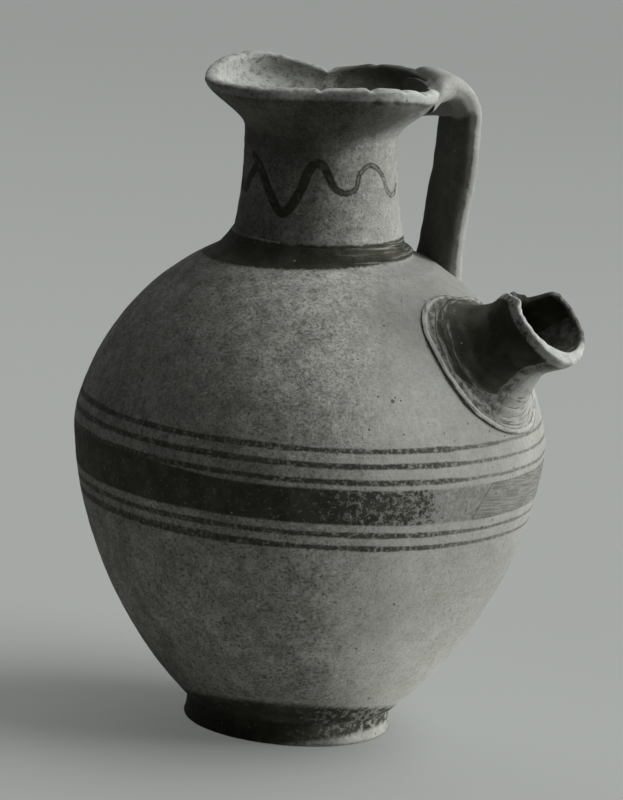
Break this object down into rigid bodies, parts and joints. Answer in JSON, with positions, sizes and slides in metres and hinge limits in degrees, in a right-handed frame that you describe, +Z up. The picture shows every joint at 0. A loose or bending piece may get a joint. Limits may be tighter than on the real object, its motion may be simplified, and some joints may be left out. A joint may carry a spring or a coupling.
{
  "type": "oinochoe jug",
  "caption": "Wheel-made clay pouring jug with a round belly, ring foot, pinched flared mouth, strap handle from rim to shoulder and a short side spout.",
  "frame": {"origin": "on the ground, under the middle of the foot ring", "axes": "+Z up; -X is the pouring lip of the mouth; the handle and the side spout are towards +X, the spout on the -Y side and the handle on the +Y side"},
  "size_m": [0.1711, 0.161, 0.2271],
  "materials": {
    "clay": "matte unglazed fired clay with painted bands",
    "painted_clay": "matte dark slip paint on fired clay"
  },
  "bodies": {
    "root": {"foot_ring": "painted_clay", "lower_body": "clay", "upper_body": "clay", "neck": "clay", "neck_coil": "painted_clay", "handle": "clay", "handle_wad": "clay", "spout": "clay", "spout_skirt": "clay"}
  },
  "joints": []
}
